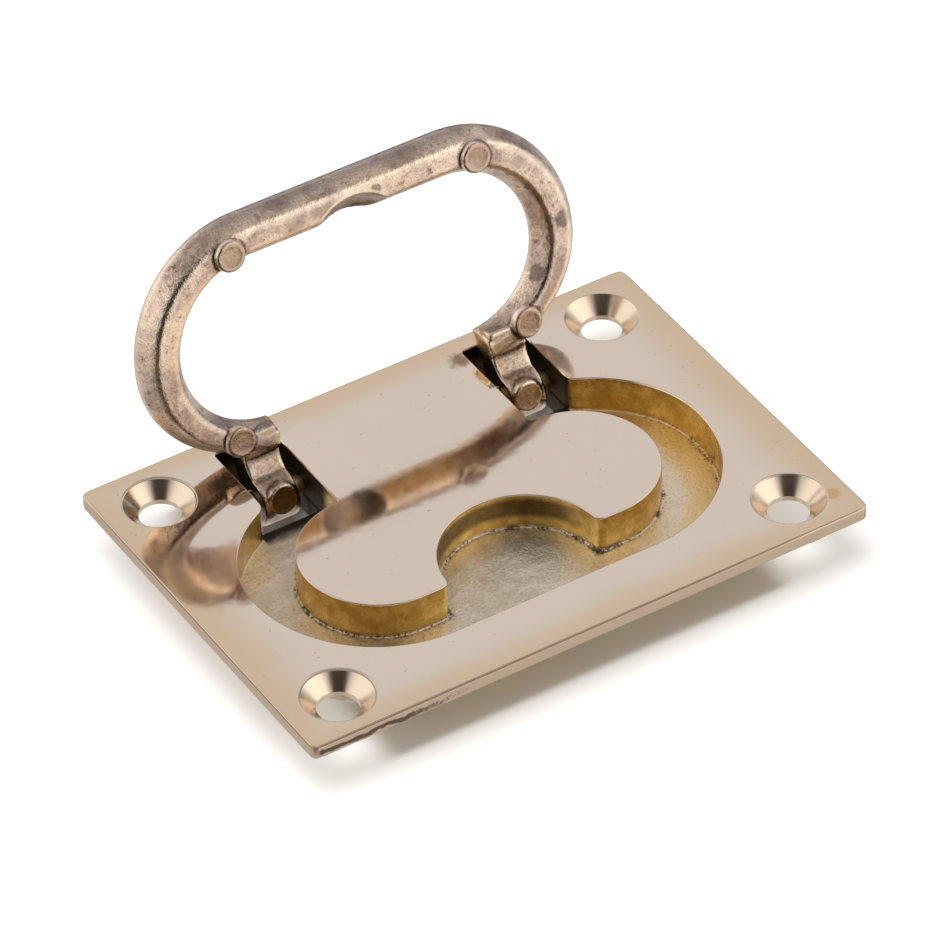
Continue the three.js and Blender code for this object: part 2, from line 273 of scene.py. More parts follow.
# %% Two lamps over the table
def panel(name, at, size, power, tint=(1, 1, 1)):
    """A square soft light at a place in metres, turned to face the part."""
    lamp = bpy.data.objects.new(name, bpy.data.lights.new(name, "AREA"))
    lamp.data.size, lamp.data.energy, lamp.data.color = size, power, tint
    lamp.location = at
    lamp.rotation_euler = (Vector((0, 0, 0.01)) - Vector(at)).to_track_quat("-Z", "Y").to_euler()
    lamp.visible_glossy = False  # the brass mirrors the room, not the lamps
    bpy.context.scene.collection.objects.link(lamp)


panel("overhead_panel", (-0.12, 0.1, 0.7), 0.6, 3.5)
panel("left_panel", (-0.75, 0.15, 0.35), 0.4, 1.0, (1.0, 0.97, 0.93))

# %% The table: a sheet of pale paper that glows a little, but not under the pan
table_z = cad_box[0][2] - 0.2 * MM
half_table = 3.0  # metres
square = [(-1, -1), (1, -1), (1, 1), (-1, 1)]
floor_mesh = bpy.data.meshes.new("floor")
floor_mesh.from_pydata([(a * half_table, b * half_table, table_z) for a, b in square], [], [(0, 1, 2, 3)])
floor = bpy.data.objects.new("floor", floor_mesh)
bpy.context.scene.collection.objects.link(floor)
floor.visible_glossy = False  # the room's own lower half stands for the table in the brass
paper = bpy.data.materials.new("paper")
paper.use_nodes = True
sheet = Finish(paper.node_tree)
floor_spot = sheet.node("ShaderNodeTexCoord", output="Object")
on_floor = sheet.node("ShaderNodeSeparateXYZ", {}, {0: floor_spot}, "X")
beside = [sheet.magnitude(axis) for axis in (on_floor, on_floor.out("Y"))]
under_pan = sheet.past(beside[0], 29, 25) * sheet.past(beside[1], 26.5, 25)
glow = sheet.mix(under_pan, rgb(1, 1, 1), rgb(0, 0, 0))
card = sheet.node("ShaderNodeBsdfPrincipled", {}, {"Base Color": rgb(0.80, 0.80, 0.80), "Roughness": 0.9,
    "Emission Color": glow, "Emission Strength": 0.3})
sheet.node("ShaderNodeOutputMaterial", {}, {"Surface": card})
floor_mesh.materials.append(paper)
print("table at", round(table_z / MM, 2), "mm")

# %% [markdown]
# ## Outlines, and profiles carried round them
#
# The plate could be modelled by hand from a cube, but nearly all of it is one idea: an outline seen from
# above, with a profile carried round it. An outline starts as lines and arcs, is softened a little the way
# a pattern maker breaks a corner, and keeps many points only where it turns.

# %% Outline tools
def arc(x, y, across, along, start, end):
    """Points on an oval: middle plus (across * cos, along * sin), from one angle to another, in degrees."""
    turn = np.radians(np.linspace(start, end, 90))
    return np.stack([x + across * np.cos(turn), y + along * np.sin(turn)], axis=1)


def evenly(points, spacing):
    """The closed line through the points, marked off at equal steps of its length."""
    closed = np.vstack([points, points[:1]])
    length = np.concatenate([[0], np.cumsum(np.hypot(*np.diff(closed, axis=0).T))])
    marks = np.linspace(0, length[-1], int(length[-1] / spacing), endpoint=False)
    return np.stack([np.interp(marks, length, closed[:, axis]) for axis in (0, 1)], axis=1)


def soften(points, radius):
    """Each point becomes the bell-weighted mean of its neighbours; radius may differ from point to point."""
    spacing = np.hypot(*(points[1] - points[0]))
    spread = np.broadcast_to(np.asarray(radius, float) / spacing, len(points))
    reach = int(4 * spread.max()) + 1
    near = np.arange(-reach, reach + 1)
    weight = np.exp(-0.5 * (near[None] / spread[:, None]) ** 2)
    index = (np.arange(len(points))[:, None] + near) % len(points)
    return (points[index] * weight[..., None]).sum(axis=1) / weight.sum(axis=1)[:, None]


def where_it_turns(points, degrees=5.0, longest=1.2):
    """Fewer points: one for every few degrees of turn or few millimetres of length."""
    step = np.roll(points, -1, axis=0) - points
    heading = np.unwrap(np.arctan2(step[:, 1], step[:, 0]))
    whole = 2 * np.pi * np.round((heading[-1] - heading[0]) / (2 * np.pi))
    turn = np.abs(np.diff(heading, append=heading[:1] + whole))
    measure = np.concatenate([[0], np.cumsum(np.hypot(*step.T) / longest + np.degrees(turn) / degrees)])
    closed = np.vstack([points, points[:1]])
    marks = np.linspace(0, measure[-1], int(measure[-1]), endpoint=False)
    return np.stack([np.interp(marks, measure, closed[:, axis]) for axis in (0, 1)], axis=1)


def outward(points):
    """Unit normals of a closed outline that runs anticlockwise: the mean way of its two lines, turned."""
    ahead = np.roll(points, -1, axis=0) - points
    ahead /= np.hypot(*ahead.T)[:, None]
    both = ahead + np.roll(ahead, 1, axis=0)
    return np.stack([both[:, 1], -both[:, 0]], axis=1) / np.hypot(*both.T)[:, None]


def mirrored(half):
    """A right-hand half outline that starts and ends on the middle line, closed by its mirror image."""
    return np.vstack([half, half[-2:0:-1] * [-1, 1]])


# %% Mesh tools
def mesh_piece(name, points, faces):
    """A new object with this mesh; points are in millimetres."""
    mesh = bpy.data.meshes.new(name)
    mesh.from_pydata((np.asarray(points) * MM).tolist(), [], faces)
    mesh.update()
    piece = bpy.data.objects.new(name, mesh)
    bpy.context.scene.collection.objects.link(piece)
    return piece


def skin(name, rows):
    """A closed tube through rows of points (rows, points in a row, 3), with a flat face over each end."""
    count, around = rows.shape[:2]
    lower = (np.arange(count - 1)[:, None] * around + np.arange(around)).ravel()
    beside = (np.arange(count - 1)[:, None] * around + np.roll(np.arange(around), -1)).ravel()
    faces = np.stack([lower, beside, beside + around, lower + around], axis=1).tolist()
    faces += [list(range(around))[::-1], list(range((count - 1) * around, count * around))]
    return mesh_piece(name, rows.reshape(-1, 3), faces)


def carried(name, outline, profile):
    """A profile of (outset, height) carried round an outline: outline + normal * outset, at height."""
    outset, height = np.array(profile, float).T
    flat = outline[None] + outward(outline)[None] * outset[:, None, None]
    tall = np.broadcast_to(height[:, None, None], flat.shape[:2] + (1,))
    return skin(name, np.concatenate([flat, tall], axis=2))


def rounded(outset, height, reach, start, end, steps=4):
    """A short arc of a profile, as (outset, height) pairs."""
    turn = np.radians(np.linspace(start, end, steps + 1))
    return [(outset + reach * np.cos(a), height + reach * np.sin(a)) for a in turn]


def combined(body, tool, operation):
    """body with tool added or taken away, as a new plain mesh on the same object."""
    change = body.modifiers.new(operation, "BOOLEAN")
    change.operation, change.object, change.solver = operation, tool, "EXACT"
    settle(body)
    bpy.data.objects.remove(tool)
    return body


def settle(piece):
    """Turns the object's modifiers into its mesh."""
    graph = bpy.context.evaluated_depsgraph_get()
    done = bpy.data.meshes.new_from_object(piece.evaluated_get(graph))
    old, piece.data = piece.data, done
    piece.modifiers.clear()
    bpy.data.meshes.remove(old)


def joined(name, pieces):
    """One object that holds several pieces' meshes."""
    with bpy.context.temp_override(active_object=pieces[0], selected_editable_objects=pieces):
        bpy.ops.object.join()
    pieces[0].name = pieces[0].data.name = name
    return pieces[0]


# %% [markdown]
# ## The face plate
#
# The real one is a single casting: a thin plate, and under it a pan that holds the recess and the hinge.
# It is built as it would be explained: a slab and the pan are added together, then the recess, the floor
# openings, the countersinks and the pin bores are taken out. Each tool carries the small rounding of its
# own edge, so the rims that catch the light come out of the cut.

# %% Plate, pan and screw bosses
rim, edge_rim = 0.14, 0.26
corner = np.array([[1, -1], [1, 1], [-1, 1], [-1, -1]]) * [half_length, half_width]
plate_outline = where_it_turns(soften(evenly(corner, 0.02), 0.75), 6, 4)
slab_profile = rounded(-0.2, seat_z + 0.2, 0.2, -90, 0)
slab_profile += rounded(-edge_rim, top_z - edge_rim, edge_rim, 0, 90)
face = carried("face_plate_fine", plate_outline, slab_profile)

pan_radius, pan_rise = outer_radius + wall, outer_rise + wall
core_radius, core_rise = inner_radius - wall, inner_rise - wall
ear_outer, ear_inner = slot_outer + ear, slot_inner - ear
meet = np.degrees(np.arccos((ear_outer - curve_x) / pan_radius))
core_front = curve_y - core_radius
bite = pocket_radius + wall
bite_start = np.degrees(np.arcsin((core_front - pocket_y) / bite))
pan_half = np.vstack([
    [[0, curve_y - pan_radius]],
    arc(curve_x, curve_y, pan_radius, pan_radius, -90, 0),
    arc(curve_x, curve_y, pan_radius, pan_rise, 0, meet),
    [[ear_outer, web_back], [ear_inner, web_back], [ear_inner, slot_front - wall]],
    [[slot_inner - wall, slot_front - wall], [slot_inner - wall, curve_y + core_rise]],
    arc(curve_x, curve_y, core_radius, core_rise, 90, 0),
    arc(curve_x, curve_y, core_radius, core_radius, 0, -90),
    arc(0, pocket_y, bite, bite, bite_start, 90),
])
pan_outline = where_it_turns(soften(evenly(mirrored(pan_half), 0.03), 0.4), 6)
pan_profile = rounded(-0.25, 0.25, 0.25, -90, 0) + [(0, seat_z + 0.3)]
combined(face, carried("pan", pan_outline, pan_profile), "UNION")


def round_rows(x, y, profile, sides=64):
    """Rows of a turned piece about an upright line: (radius, height) pairs spun round it."""
    radius, height = np.array(profile, float).T
    turn = np.linspace(0, 2 * np.pi, sides, endpoint=False)
    ring = np.stack([np.cos(turn), np.sin(turn)], axis=1)
    flat = np.array([x, y]) + ring[None] * radius[:, None, None]
    tall = np.broadcast_to(height[:, None, None], flat.shape[:2] + (1,))
    return np.concatenate([flat, tall], axis=2)


places = [(sx * hole_x, sy * hole_y) for sx in (-1, 1) for sy in (-1, 1)]
boss_radius = 5.8
boss = [(boss_radius - 0.3, seat_z - 0.75), (boss_radius, seat_z - 0.6), (boss_radius, seat_z + 0.3)]
bosses = joined("bosses", [skin("boss", round_rows(x, y, boss)) for x, y in places])
combined(face, bosses, "UNION")
print("slab and pan:", len(face.data.polygons), "faces")

# %% The recess, with its rim and the foot of its wall
slot_meet = np.degrees(np.arccos((slot_outer - curve_x) / outer_radius))
recess_half = np.vstack([
    [[0, curve_y - outer_radius]],
    arc(curve_x, curve_y, outer_radius, outer_radius, -90, 0),
    arc(curve_x, curve_y, outer_radius, outer_rise, 0, slot_meet),
    [[slot_outer, slot_back], [slot_inner, slot_back], [slot_inner, curve_y + inner_rise]],
    arc(curve_x, curve_y, inner_radius, inner_rise, 90, 0),
    arc(curve_x, curve_y, inner_radius, inner_radius, 0, -90),
    arc(0, pocket_y, pocket_radius, pocket_radius, -0.5, 90),
])
line = evenly(mirrored(recess_half), 0.02)
side_x, side_y = np.abs(line[:, 0]), line[:, 1]
at_pocket = np.hypot(side_x - pocket_radius, side_y - (curve_y - inner_radius))
at_slot = np.hypot(side_x - slot_outer, side_y - slot_front + 0.9)
broken = 0.3 + 0.5 * np.exp(-((at_pocket / 2.2) ** 2)) + 0.4 * np.exp(-((at_slot / 2.0) ** 2))
recess_outline = where_it_turns(soften(line, broken))
foot = 0.2
recess_profile = rounded(-foot, floor_z + foot, foot, -90, 0)
recess_profile += [(0, 4.0), (0, 5.6)] + rounded(rim, top_z - rim, rim, 180, 90) + [(rim, top_z + 1)]
combined(face, carried("recess", recess_outline, recess_profile), "DIFFERENCE")
print("recess outline:", len(recess_outline), "points")


# %% Openings in the floor under the lugs, the stop webs, the countersinks and the pin bores
def box_piece(name, low, high):
    """An upright block between two corners, as a skin over its rectangle."""
    x0, y0, z0 = low
    x1, y1, z1 = high
    ring = np.array([[x0, y0], [x1, y0], [x1, y1], [x0, y1]], float)
    return skin(name, np.stack([np.column_stack([ring, np.full(4, z)]) for z in (z0, z1)]))


def both_sides(name, low, high):
    """A right-hand block and its mirror image, as one tool."""
    (x0, y0, z0), (x1, y1, z1) = low, high
    pair = [box_piece(name, low, high), box_piece(name, (-x1, y0, z0), (-x0, y1, z1))]
    return joined(name, pair)


def hinge_bar(name, radius, low_x, high_x, bevel=0.0, sides=48):
    """A round bar along the hinge, its ends turned down by a small bevel."""
    rows = round_rows(0, 0, [(radius - bevel, low_x), (radius, low_x + bevel + 1e-3),
                             (radius, high_x - bevel - 1e-3), (radius - bevel, high_x)], sides)
    y, z, x = rows[..., 0] + hinge_y, rows[..., 1] + hinge_z, rows[..., 2]
    return skin(name, np.stack([x, y, z], axis=-1))


tiny = 0.04  # keeps apart two faces that would lie on each other
opening = (slot_inner + tiny, slot_front, -1), (slot_outer - tiny, web_front, 3.2)
combined(face, both_sides("opening", *opening), "DIFFERENCE")
web = (slot_inner - 0.5, web_front, 0.02), (slot_outer + 0.5, web_back - tiny, seat_z)
combined(face, both_sides("web", *web), "UNION")
cone = [(hole_radius, seat_z - 2), (hole_radius, top_z - sink_depth), (sink_radius - 0.05, top_z - 0.06),
        (sink_radius + 0.12, top_z + 0.02), (sink_radius + 0.12, top_z + 1)]
sinks = joined("sinks", [skin("sink", round_rows(x, y, cone, 96)) for x, y in places])
combined(face, sinks, "DIFFERENCE")
bore_ends = (ear_inner - 1, ear_outer + 1), (-ear_outer - 1, -ear_inner + 1)
bores = [hinge_bar("bore", bore_radius, low, high) for low, high in bore_ends]
combined(face, joined("bores", bores), "DIFFERENCE")
face.data.shade_smooth()
face.data.set_sharp_from_angle(angle=np.radians(38))
even = face.modifiers.new("even shading", "WEIGHTED_NORMAL")
even.weight, even.keep_sharp = 100, True
settle(face)
print("face plate:", len(face.data.polygons), "faces")

# %% [markdown]
# ## The bail
#
# The bail is a rough casting with no crisp edge anywhere. Its parts are worked out one by one, folded down
# in the recess: the bar, whose section is carried along its middle line, a lug at each end, and the round
# marks that the mould's ejector pins leave. Overlapping, they are then turned into one skin of small even
# cells and smoothed, which melts the joins together as the metal does.

# %% The bar: a section carried along a path that narrows towards its ends
bail_outer, bail_outer_rise = 16.25, 14.1
bail_inner, bail_inner_rise = 10.35, 10.25
end_angle = 86.1


def bar_sides():
    """The bar's outer and inner outlines, point for point, from the left end round to the right."""
    def run(radius, rise):
        return np.vstack([
            arc(-curve_x, curve_y, radius, rise, 180 - end_angle, 180),
            arc(-curve_x, curve_y, radius, radius, 180, 270)[1:],
            np.linspace([-curve_x, curve_y - radius], [curve_x, curve_y - radius], 90)[1:],
            arc(curve_x, curve_y, radius, radius, -90, 0)[1:],
            arc(curve_x, curve_y, radius, rise, 0, end_angle)[1:],
        ])
    return run(bail_outer, bail_outer_rise), run(bail_inner, bail_inner_rise)


half_section, bar_top, bar_under = 2.95, 6.95, 3.3
section_side = np.array([[2.75, bar_top], [half_section, 6.7], [2.92, 5.9], [1.8, 3.8], [1.32, bar_under]])
section = np.vstack([section_side[:1] * [-1, 1], section_side, section_side[:0:-1] * [-1, 1]])[::-1]
section = where_it_turns(soften(evenly(section, 0.02), 0.4), 10, 0.6)
outer_side, inner_side = bar_sides()
middle, half_bar = (outer_side + inner_side) / 2, (outer_side - inner_side) / 2
across = section[:, 0] / half_section
plan = middle[:, None] + half_bar[:, None] * across[None, :, None]
tall = np.broadcast_to(section[None, :, 1:], plan.shape[:2] + (1,))
bar = skin("bar", np.concatenate([plan, tall], axis=2))
print("bar:", plan.shape[0], "places,", plan.shape[1], "points round each")


# %% The fingertip scoop in the front of the bar
def ball(name, x, y, z, radius, sides=64):
    """A ball as stacked rings: radius * sin for the ring, radius * cos for its height."""
    fall = np.radians(np.linspace(177, 3, 48))
    profile = np.stack([radius * np.sin(fall), z + radius * np.cos(fall)], axis=1)
    return skin(name, round_rows(x, y, profile, sides))


scoop_at, scoop_radius = (0.5, -8.75, 1.3), 6.51
combined(bar, ball("scoop", *scoop_at, scoop_radius), "DIFFERENCE")
print("scooped bar:", len(bar.data.polygons), "faces")

# %% The lugs: a side outline with a profile carried round it
eye = arc(hinge_y, hinge_z, 3.08, 3.08, 193, 450)
lug_outline = np.vstack([
    [[9.0, 3.42], [11.75, 3.42], [12.05, 3.7], [12.8, 3.62], [13.6, 3.35], [14.25, 2.98]], eye,
    [[13.4, 6.93], [9.0, 6.93]],
])
lug_outline = where_it_turns(soften(evenly(lug_outline, 0.02), 0.16), 8)
lug_inner, lug_outer = 14.875, 19.625
print("lug outline:", len(lug_outline), "points")


def lug(sign):
    """The outline stands across the hinge, so its heights run along X; the rims are rounded."""
    edge = 0.28
    profile = rounded(-edge, lug_inner + edge, edge, -90, 0) + rounded(-edge, lug_outer - edge, edge, 0, 90)
    outset, x = np.array(profile).T
    side = lug_outline[None] + outward(lug_outline)[None] * outset[:, None, None]
    x = np.broadcast_to(x[:, None, None], side.shape[:2] + (1,))
    rows = np.concatenate([x, side], axis=2)
    piece = skin("lug", rows if sign > 0 else (rows * [-1, 1, 1])[::-1])
    low, high = sorted((sign * (lug_inner - 1), sign * (lug_outer + 1)))
    return combined(piece, hinge_bar("lug_bore", eye_radius, low, high), "DIFFERENCE")


# %% The round marks of the ejector pins
def mark(x, y, face_z, root_z, flat=1.65):
    """A low round pad, turned from a profile: a short wall, a rounded rim and a slightly sunk middle."""
    profile = [(0.01, face_z + 0.12), (flat - 0.5, face_z + 0.1), (flat - 0.1, face_z),
               (flat + 0.1, face_z + 0.03), (flat + 0.26, face_z + 0.16), (flat + 0.33, face_z + 0.4),
               (flat + 0.4, root_z)]
    return skin("mark", round_rows(x, y, profile, 48))


bar_mark_places = (-16.4, -13.8), (17.3, -13.8), (-19.8, 9.2), (20.1, 9.15)
lug_mark_x, lug_mark_y = 17.1, 17.1
marks = [mark(x, y, 2.65, 3.8) for x, y in bar_mark_places]
marks += [mark(sign * lug_mark_x, lug_mark_y, 0.32, 1.6, 1.7) for sign in (-1, 1)]

# %% One skin over all of them
bail = joined("bail_fine", [bar, lug(1), lug(-1)] + marks)
cells = bail.modifiers.new("even cells", "REMESH")
cells.mode, cells.voxel_size, cells.use_smooth_shade = "VOXEL", 0.17 * MM, True
melt = bail.modifiers.new("melted edges", "SMOOTH")
melt.factor, melt.iterations = 0.5, 2
settle(bail)
print("bail:", len(bail.data.polygons), "cells")

# %% Where the skin is an edge and where it is a crease
mesh = bail.data
count = len(mesh.vertices)
points, normals = np.empty(count * 3), np.empty(count * 3)
mesh.vertices.foreach_get("co", points)
mesh.vertices.foreach_get("normal", normals)
points, normals = points.reshape(-1, 3), normals.reshape(-1, 3)
ends = np.empty(len(mesh.edges) * 2, int)
mesh.edges.foreach_get("vertices", ends)
ends = ends.reshape(-1, 2)


def neighbour_mean(values):
    """The mean of each vertex's neighbours along the edges."""
    total = sum(np.bincount(ends[:, a], values[ends[:, b]], count) for a, b in ((0, 1), (1, 0)))
    return total / np.maximum(np.bincount(ends.ravel(), minlength=count), 1)


# How far a vertex stands proud of its neighbours: above 0 on an edge, below 0 in a crease.
sharpest = 0.02  # millimetres proud that count as 1
centre = np.stack([neighbour_mean(points[:, axis]) for axis in range(3)], axis=1)
bend = ((points - centre) * normals).sum(axis=1) / (MM * sharpest)
for _ in range(6):
    bend = (bend + neighbour_mean(bend)) / 2
bend_data = mesh.attributes.new("bend", "FLOAT", "POINT").data
bend_data.foreach_set("value", np.clip(bend, -1, 1).astype(np.float32))
print("bend from", bend.min().round(2), "to", bend.max().round(2))
folded = mesh.attributes.new("folded", "FLOAT_VECTOR", "POINT")
folded.data.foreach_set("vector", points.astype(np.float32).ravel())

# %% Stand it open about the hinge
turn = np.radians(-frame["joints"][0]["range_deg"][1])
spin = np.array([[1, 0, 0], [0, np.cos(turn), -np.sin(turn)], [0, np.sin(turn), np.cos(turn)]])
pivot = np.array([0, hinge_y, hinge_z]) * MM
standing = (points - pivot) @ spin.T + pivot
mesh.vertices.foreach_set("co", standing.ravel())
mesh.update()
print("bail box, mm:", (standing.min(0) / MM).round(2), (standing.max(0) / MM).round(2))

# %% [markdown]
# ## The hinge pins
#
# Each lug turns on a plain brass pin that is driven through the pan. Only its ends can be seen, from
# below, so a round bar with broken edges is enough.

# %% Pins
pins = []
for name, low, high in (("left", -ear_outer, -ear_inner), ("right", ear_inner, ear_outer)):
    pin = hinge_bar("pin_fine_" + name, pin_radius, low, high, 0.18)
    pin.data.shade_smooth()
    pin.data.set_sharp_from_angle(angle=np.radians(30))
    pins.append(pin)
print("pins:", [len(pin.data.polygons) for pin in pins], "faces")

# %% [markdown]
# ## Finishes
#
# All three finishes are brass. What tells them apart is the work done on them: the plate's face is buffed
# to a mirror, its recess is left nearly as cast, its screw seats are turned, its edges are ground, and the
# bail is only tumbled, so it keeps a grey-brown skin that wears through on the high places, with a painted
# highlight on its edges as well.

# %% Plate finish: which part of the plate a point is on
brass = bpy.data.materials.new("buffed_brass")
brass.use_nodes = True
plate = Finish(brass.node_tree)
here = plate.node("ShaderNodeTexCoord", output="Object")
axes = plate.node("ShaderNodeSeparateXYZ", {}, {0: here}, "X")
x, y, z = axes, axes.out("Y"), axes.out("Z")
far_x, far_y = plate.magnitude(x), plate.magnitude(y)
# How far from the groove's inner axis: a straight line between the middles of its two end curves.
beyond = plate.larger(far_x - curve_x * MM, 0.0)
round_end = plate.length(beyond, y - curve_y * MM)
sunk = plate.past(z, top_z - 0.06, top_z - 0.2)
deep = plate.past(z, floor_z + 0.5, floor_z + 0.12)
hole_far = plate.length(far_x - hole_x * MM, far_y - hole_y * MM)
turned = plate.past(hole_far, sink_radius + 0.25, sink_radius + 0.1)
end_side = plate.past(far_x, half_length - 0.12, half_length - 0.04)
front_side = plate.past(far_y, half_width - 0.12, half_width - 0.04)
ground = plate.larger(end_side, front_side)
diagonal = half_length + half_width
rounded_corner = plate.past(far_x + far_y, diagonal - 0.85, diagonal - 0.75)
ground = plate.larger(ground, rounded_corner * sunk)
cast = sunk * (1 - turned) * (1 - ground)
print("masks:", len(brass.node_tree.nodes), "nodes")

# %% [markdown]
# ### The buffed face
#
# The real face is pinker in the middle and tanner towards its edges, and it has a few spots. One flat
# colour would do for a small part seen from afar, but up close it looks like plastic, so the colour is
# mixed. Three cloudy patterns, from coarse to fine, serve every part of the plate.

# %% The buffed face
cloud = plate.noise(here, 60, 4)
mottle = plate.noise(here, 420, 5, 0.65)
grain = plate.noise(here, 2600, 4, 0.7)
edge_x = plate.past(far_x, half_length - 9, half_length)
edge_y = plate.past(far_y, half_width - 6, half_width)
near_edge = plate.larger(edge_x, edge_y)
tan_part = plate.step(near_edge * 0.75 + cloud * 0.6, 0.3, 1.1)
face_colour = plate.mix(tan_part, rgb(0.785, 0.66, 0.55), rgb(0.73, 0.56, 0.385))
stain_far = plate.distance(here, (35.5, -22.2, top_z))
stain = plate.past(ragged(stain_far, mottle, 1.6), 1.3, 0.7)
face_colour = plate.mix(stain * 0.6, face_colour, rgb(0.62, 0.36, 0.10))
smear_far = plate.distance(here, (12.2, 22.6, top_z))
smear = plate.past(ragged(smear_far, mottle, 3), 1.7, 0.7)
face_colour = plate.mix(smear * 0.8, face_colour, rgb(0.20, 0.10, 0.03))
flecks = plate.step(plate.noise(here, 1300, 2, 0.5), 0.735, 0.77)
face_colour = plate.mix(flecks * 0.5, face_colour, rgb(0.36, 0.25, 0.15))
print("buffed face:", len(brass.node_tree.nodes), "nodes")

# %% [markdown]
# ### The cast recess
#
# A buffing wheel can't reach into the recess, so it stays nearly as it left the mould: golden walls, a pale
# grainy floor, and dark cracks of dirt where they meet. The dirt could be painted by hand. It follows the
# sizes that drew the walls instead, so it stays in the corners when a size changes.

# %% The recess: its walls and its floor
wall_colour = plate.mix(plate.step(mottle, 0.35, 0.7), rgb(0.60, 0.39, 0.10), rgb(0.95, 0.70, 0.27))
floor_patch = plate.step(mottle * 0.5 + cloud * 0.5, 0.4, 0.62)
floor_colour = plate.mix(floor_patch, rgb(0.76, 0.65, 0.50), rgb(0.98, 0.87, 0.70))
golden = plate.past(ragged(x, mottle, 8), 15, 24) * plate.past(ragged(round_end, cloud, 6), 12.8, 15)
floor_colour = plate.mix(golden * 0.8, floor_colour, rgb(0.98, 0.72, 0.32))
floor_grain = plate.step(grain, 0.53, 0.66)
floor_colour = plate.mix(floor_grain * 0.35, floor_colour, rgb(0.16, 0.11, 0.06))

# %% Dirt in the corners of the recess
pocket_far = plate.length(x, y - pocket_y * MM)
in_pocket = plate.past(pocket_far, pocket_radius + 0.15, pocket_radius)
inside_outer = plate.past(round_end, outer_radius - 1, outer_radius - 0.2)
inside_outer = inside_outer * plate.past(round_end, outer_radius + 0.6, outer_radius + 0.2)
by_inner = plate.past(round_end, inner_radius + 0.7, inner_radius + 0.2) * (1 - in_pocket)
by_pocket = in_pocket * plate.past(pocket_far, pocket_radius - 0.8, pocket_radius - 0.2)
by_wall = inside_outer + by_inner + by_pocket * plate.past(y, -12, -11)
cracks = by_wall * plate.step(mottle * 0.5 + grain * 0.5, 0.47, 0.55)
floor_colour = plate.mix(cracks * 0.9, floor_colour, rgb(0.06, 0.04, 0.02))
grime = plate.past(z, floor_z + 0.75, floor_z + 0.2) * plate.step(mottle, 0.46, 0.58)
cast_colour = plate.mix(deep, wall_colour, floor_colour)
cast_colour = plate.mix(grime * (1 - deep) * 0.8, cast_colour, rgb(0.10, 0.07, 0.03))

# %% Painted shade in the slots and on the pocket's wall
in_slot = plate.past(far_x, slot_inner - 0.3, slot_inner - 0.1)
in_slot = in_slot * plate.past(far_x, slot_outer + 0.3, slot_outer + 0.1)
in_slot = in_slot * plate.past(y, slot_back + 0.14, slot_back + 0.08)
behind_mouth = plate.past(y + mottle * (2 * MM), slot_front - 1.7, slot_front + 0.3)
# painted shade: deep inside each slot the colour goes nearly black, standing in for the slot's shade
slot_shade = in_slot * behind_mouth * plate.past(z, 8.6, 7.2)
cast_colour = plate.mix(slot_shade * 0.92, cast_colour, rgb(0.02, 0.012, 0.007))
off_pocket_wall = plate.magnitude(pocket_far - pocket_radius * MM)
pocket_wall = plate.past(off_pocket_wall, 0.5, 0.3) * plate.past(y, -10, -5)
# painted shade: a dark band across the pocket's wall
shaded = pocket_wall * plate.past(z, 3.4, 4.6) * plate.past(z, 7.2, 6.2)
cast_colour = plate.mix(shaded * 0.8, cast_colour, rgb(0.05, 0.03, 0.015))
print("recess:", len(brass.node_tree.nodes), "nodes")

# %% Seats, ground sides, and the plate's whole colour
seat_colour, side_brass = rgb(0.76, 0.625, 0.48), rgb(0.64, 0.49, 0.36)
unground_z = 6.2  # the grinding stone missed a line along the front side, near its left end
off_line = plate.magnitude(ragged(z, mottle, 1.6) - unground_z * MM)
unground = front_side * plate.past(y, 0, -1) * plate.past(ragged(x, grain, 20), -16, -26)
unground = unground * plate.past(off_line, 0.45, 0.2)
side_colour = plate.mix(unground * 0.85, side_brass, rgb(0.05, 0.03, 0.02))
colour = plate.mix(cast, face_colour, cast_colour)
colour = plate.mix(turned, colour, seat_colour)
colour = plate.mix(ground, colour, side_colour)

# %% [markdown]
# ### Roughness and relief
#
# Turning leaves rings round each screw hole, grinding leaves strokes along the sides, and casting leaves
# lumps. All of them are heights in metres, so one Bump node can carry their sum.

# %% Roughness and relief of the plate
one_way = {"noise_dimensions": "1D"}
rings = plate.node("ShaderNodeTexNoise", one_way, {"W": hole_far, "Scale": 9000.0, "Detail": 2.0}, "Fac")
strokes = plate.node("ShaderNodeTexNoise", one_way, {"W": x + y, "Scale": 5200.0, "Detail": 3.0}, "Fac")
roughness = 0.055 + plate.step(mottle, 0.3, 0.9) * 0.05 + cast * (0.12 + mottle * 0.16) + deep * cast * 0.12
roughness = roughness + turned * 0.14 + ground * 0.22 + cast * slot_shade * 0.3
relief = cast * (mottle * 0.00014 + grain * 0.00004) + deep * cast * (mottle * 0.00012 + grain * 0.00004)
relief = relief + turned * rings * 0.000004 + ground * strokes * 0.00001 + cloud * 0.00004 * (1 - cast)

# %% [markdown]
# ### How the buffed face leans
#
# A wheel never leaves a face quite flat, and a mirror shows a tilt at twice its angle. The tongue and the
# face behind it lean forward by about two degrees. Towards the left end the rest of the face leans too,
# fully at the back and hardly at the front. The lean is part of the relief: a height that changes
# steadily, and for the tongue eases in from nothing at the back.

# %% The lean of the buffed face
lean = 0.042  # fall over run
ease_from, ease_run = 22.0, 10.0  # millimetres: where the fall starts, and the run that eases it in
run = (ease_from * MM - y) * (1 / (ease_run * MM))
eased = plate.node("ShaderNodeClamp", {}, {0: run, 1: 0.0, 2: 1.0})
straight = plate.larger(run - 1, 0.0)
fall = (eased * eased * 0.5 + straight) * (-ease_run * MM * lean)
between = plate.past(far_x, slot_outer - 0.4, slot_inner + 0.3) * plate.past(y, 6, 8)
tongue = plate.past(round_end, outer_radius - 0.2, inner_radius + 0.2)
middle_part = plate.larger(between, tongue)
ramps = {0: half_width * MM - y, 1: 21.5 * MM - y * 0.15, 2: 4 * MM}
side_fall = plate.node("ShaderNodeMath", {"operation": "SMOOTH_MIN"}, ramps) * (-lean)
left_part = plate.past(x, 37, -37) * (1 - middle_part)
relief = relief + (fall * middle_part + side_fall * left_part) * (1 - sunk)
